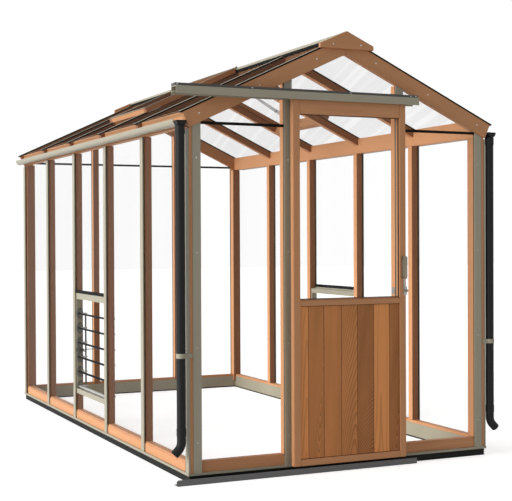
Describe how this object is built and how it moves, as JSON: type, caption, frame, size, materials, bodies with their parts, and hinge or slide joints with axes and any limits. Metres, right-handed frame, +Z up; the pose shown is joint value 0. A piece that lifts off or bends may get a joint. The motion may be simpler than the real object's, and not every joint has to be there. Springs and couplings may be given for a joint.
{
  "type": "wooden greenhouse",
  "caption": "Walk-in cedar greenhouse with a pitched glass roof, aluminium cappings, a sliding half-boarded door, two roof vents, side louvres, gutters and downpipes.",
  "frame": {"origin": "on the ground, at the centre of the whole footprint", "axes": "+Z up, +Y from the door gable to the rear gable along the ridge, +X to the right seen from the door"},
  "size_m": [2.1686, 3.9042, 2.529],
  "materials": {
    "cedar": "oiled, open grain",
    "cedar_boards": "oiled, open grain",
    "sage_aluminium": "satin powder coat",
    "steel": "satin",
    "black_plastic": "matt",
    "glass": "clear"
  },
  "bodies": {
    "house": {"base_plinth": "black_plastic", "gable_frame_front": "cedar", "gable_frame_rear": "cedar", "side_frame_right": "cedar", "side_frame_left": "cedar", "roof_frame_right": "cedar", "roof_frame_left": "cedar", "ridge_beam": "cedar", "gable_rafters_front": "cedar", "gable_rafters_rear": "cedar", "glass_front": "glass", "glass_rear": "glass", "glass_right": "glass", "glass_left": "glass", "glass_roof_right": "glass", "glass_roof_left": "glass", "capping_front": "sage_aluminium", "capping_rear": "sage_aluminium", "capping_right": "sage_aluminium", "capping_left": "sage_aluminium", "capping_roof": "sage_aluminium", "gutter_right": "sage_aluminium", "gutter_left": "sage_aluminium", "downpipe_right": "black_plastic", "downpipe_left": "black_plastic", "door_track_top": "sage_aluminium", "door_track_bottom": "sage_aluminium", "louvre_right_frame": "sage_aluminium", "louvre_left_frame": "sage_aluminium"},
    "door": {"door_frame": "cedar", "door_boards": "cedar_boards", "door_glass": "glass", "door_handle": "steel"},
    "door_catch": {"door_catch": "steel"},
    "door_roller_1": {"door_roller_1": "black_plastic"},
    "door_roller_2": {"door_roller_2": "black_plastic"},
    "vent_right": {"vent_sash_right": "cedar", "vent_glass_right": "glass"},
    "vent_opener_right": {"vent_opener_right": "steel"},
    "vent_arm_right": {"vent_arm_right": "steel"},
    "louvre_right_blade_1": {"louvre_right_blade_1": "glass"},
    "louvre_right_blade_2": {"louvre_right_blade_2": "glass"},
    "louvre_right_blade_3": {"louvre_right_blade_3": "glass"},
    "louvre_right_blade_4": {"louvre_right_blade_4": "glass"},
    "louvre_right_blade_5": {"louvre_right_blade_5": "glass"},
    "louvre_right_blade_6": {"louvre_right_blade_6": "glass"},
    "louvre_right_lever": {"louvre_right_lever": "steel"},
    "louvre_right_link": {"louvre_right_link": "steel"},
    "vent_left": {"vent_sash_left": "cedar", "vent_glass_left": "glass"},
    "vent_opener_left": {"vent_opener_left": "steel"},
    "vent_arm_left": {"vent_arm_left": "steel"},
    "louvre_left_blade_1": {"louvre_left_blade_1": "glass"},
    "louvre_left_blade_2": {"louvre_left_blade_2": "glass"},
    "louvre_left_blade_3": {"louvre_left_blade_3": "glass"},
    "louvre_left_blade_4": {"louvre_left_blade_4": "glass"},
    "louvre_left_blade_5": {"louvre_left_blade_5": "glass"},
    "louvre_left_blade_6": {"louvre_left_blade_6": "glass"},
    "louvre_left_lever": {"louvre_left_lever": "steel"},
    "louvre_left_link": {"louvre_left_link": "steel"}
  },
  "joints": [
    {"name": "door_slide", "type": "slide", "parent": "house", "child": "door", "axis": [-1, 0, 0], "range_m": [0, 0.7]},
    {"name": "door_catch_turn", "type": "hinge", "parent": "door", "child": "door_catch", "pos_m": [0.364, -1.92085, 1.0265], "axis": [0, -1, 0], "range_deg": [0, 90]},
    {"name": "door_roller_1_spin", "type": "hinge", "parent": "door", "child": "door_roller_1", "pos_m": [-0.2577, -1.87885, 2.142], "axis": [0, 1, 0], "continuous": true},
    {"name": "door_roller_2_spin", "type": "hinge", "parent": "door", "child": "door_roller_2", "pos_m": [0.2577, -1.87885, 2.142], "axis": [0, 1, 0], "continuous": true},
    {"name": "vent_right_hinge", "type": "hinge", "parent": "house", "child": "vent_right", "pos_m": [0.03606, 0.03715, 2.51791], "axis": [0, -1, 0], "range_deg": [0, 30]},
    {"name": "vent_right_opener_pivot", "type": "hinge", "parent": "house", "child": "vent_opener_right", "pos_m": [0.61456, 0.03715, 2.18391], "axis": [0, 1, 0], "range_deg": [0, 14]},
    {"name": "vent_right_arm_pivot", "type": "hinge", "parent": "vent_right", "child": "vent_arm_right", "pos_m": [0.62422, 0.03715, 2.20122], "axis": [0, -1, 0], "range_deg": [0, 14]},
    {"name": "louvre_right_blade_1_turn", "type": "hinge", "parent": "house", "child": "louvre_right_blade_1", "pos_m": [0.9491, 0.03715, 0.283], "axis": [0, 1, 0], "range_deg": [0, 80]},
    {"name": "louvre_right_blade_2_turn", "type": "hinge", "parent": "house", "child": "louvre_right_blade_2", "pos_m": [0.9491, 0.03715, 0.387], "axis": [0, 1, 0], "range_deg": [0, 80]},
    {"name": "louvre_right_blade_3_turn", "type": "hinge", "parent": "house", "child": "louvre_right_blade_3", "pos_m": [0.9491, 0.03715, 0.491], "axis": [0, 1, 0], "range_deg": [0, 80]},
    {"name": "louvre_right_blade_4_turn", "type": "hinge", "parent": "house", "child": "louvre_right_blade_4", "pos_m": [0.9491, 0.03715, 0.595], "axis": [0, 1, 0], "range_deg": [0, 80]},
    {"name": "louvre_right_blade_5_turn", "type": "hinge", "parent": "house", "child": "louvre_right_blade_5", "pos_m": [0.9491, 0.03715, 0.699], "axis": [0, 1, 0], "range_deg": [0, 80]},
    {"name": "louvre_right_blade_6_turn", "type": "hinge", "parent": "house", "child": "louvre_right_blade_6", "pos_m": [0.9491, 0.03715, 0.803], "axis": [0, 1, 0], "range_deg": [0, 80]},
    {"name": "louvre_right_lever_turn", "type": "hinge", "parent": "house", "child": "louvre_right_lever", "pos_m": [0.9491, 0.03715, 0.543], "axis": [0, 1, 0], "range_deg": [0, 80]},
    {"name": "louvre_right_link_turn", "type": "hinge", "parent": "louvre_right_blade_3", "child": "louvre_right_link", "pos_m": [0.90587, 0.03715, 0.47527], "axis": [0, 1, 0], "range_deg": [-80, 0]},
    {"name": "vent_left_hinge", "type": "hinge", "parent": "house", "child": "vent_left", "pos_m": [-0.03606, 0.03715, 2.51791], "axis": [0, 1, 0], "range_deg": [0, 30]},
    {"name": "vent_left_opener_pivot", "type": "hinge", "parent": "house", "child": "vent_opener_left", "pos_m": [-0.61456, 0.03715, 2.18391], "axis": [0, -1, 0], "range_deg": [0, 14]},
    {"name": "vent_left_arm_pivot", "type": "hinge", "parent": "vent_left", "child": "vent_arm_left", "pos_m": [-0.62422, 0.03715, 2.20122], "axis": [0, 1, 0], "range_deg": [0, 14]},
    {"name": "louvre_left_blade_1_turn", "type": "hinge", "parent": "house", "child": "louvre_left_blade_1", "pos_m": [-0.9491, 0.03715, 0.283], "axis": [0, -1, 0], "range_deg": [0, 80]},
    {"name": "louvre_left_blade_2_turn", "type": "hinge", "parent": "house", "child": "louvre_left_blade_2", "pos_m": [-0.9491, 0.03715, 0.387], "axis": [0, -1, 0], "range_deg": [0, 80]},
    {"name": "louvre_left_blade_3_turn", "type": "hinge", "parent": "house", "child": "louvre_left_blade_3", "pos_m": [-0.9491, 0.03715, 0.491], "axis": [0, -1, 0], "range_deg": [0, 80]},
    {"name": "louvre_left_blade_4_turn", "type": "hinge", "parent": "house", "child": "louvre_left_blade_4", "pos_m": [-0.9491, 0.03715, 0.595], "axis": [0, -1, 0], "range_deg": [0, 80]},
    {"name": "louvre_left_blade_5_turn", "type": "hinge", "parent": "house", "child": "louvre_left_blade_5", "pos_m": [-0.9491, 0.03715, 0.699], "axis": [0, -1, 0], "range_deg": [0, 80]},
    {"name": "louvre_left_blade_6_turn", "type": "hinge", "parent": "house", "child": "louvre_left_blade_6", "pos_m": [-0.9491, 0.03715, 0.803], "axis": [0, -1, 0], "range_deg": [0, 80]},
    {"name": "louvre_left_lever_turn", "type": "hinge", "parent": "house", "child": "louvre_left_lever", "pos_m": [-0.9491, 0.03715, 0.543], "axis": [0, -1, 0], "range_deg": [0, 80]},
    {"name": "louvre_left_link_turn", "type": "hinge", "parent": "louvre_left_blade_3", "child": "louvre_left_link", "pos_m": [-0.90587, 0.03715, 0.47527], "axis": [0, -1, 0], "range_deg": [-80, 0]}
  ],
  "couplings": [
    {"joint": "door_roller_1_spin", "follows": "door_slide", "rad_per_m": -103.09},
    {"joint": "door_roller_2_spin", "follows": "door_slide", "rad_per_m": -103.09},
    {"joint": "vent_right_opener_pivot", "follows": "vent_right_hinge", "ratio": 0.352},
    {"joint": "vent_right_arm_pivot", "follows": "vent_right_hinge", "ratio": 0.351},
    {"joint": "louvre_right_blade_1_turn", "follows": "louvre_right_blade_3_turn", "ratio": 1},
    {"joint": "louvre_right_blade_2_turn", "follows": "louvre_right_blade_3_turn", "ratio": 1},
    {"joint": "louvre_right_blade_4_turn", "follows": "louvre_right_blade_3_turn", "ratio": 1},
    {"joint": "louvre_right_blade_5_turn", "follows": "louvre_right_blade_3_turn", "ratio": 1},
    {"joint": "louvre_right_blade_6_turn", "follows": "louvre_right_blade_3_turn", "ratio": 1},
    {"joint": "louvre_right_lever_turn", "follows": "louvre_right_blade_3_turn", "ratio": 1},
    {"joint": "louvre_right_link_turn", "follows": "louvre_right_blade_3_turn", "ratio": -1},
    {"joint": "vent_left_opener_pivot", "follows": "vent_left_hinge", "ratio": 0.352},
    {"joint": "vent_left_arm_pivot", "follows": "vent_left_hinge", "ratio": 0.351},
    {"joint": "louvre_left_blade_1_turn", "follows": "louvre_left_blade_3_turn", "ratio": 1},
    {"joint": "louvre_left_blade_2_turn", "follows": "louvre_left_blade_3_turn", "ratio": 1},
    {"joint": "louvre_left_blade_4_turn", "follows": "louvre_left_blade_3_turn", "ratio": 1},
    {"joint": "louvre_left_blade_5_turn", "follows": "louvre_left_blade_3_turn", "ratio": 1},
    {"joint": "louvre_left_blade_6_turn", "follows": "louvre_left_blade_3_turn", "ratio": 1},
    {"joint": "louvre_left_lever_turn", "follows": "louvre_left_blade_3_turn", "ratio": 1},
    {"joint": "louvre_left_link_turn", "follows": "louvre_left_blade_3_turn", "ratio": -1}
  ]
}
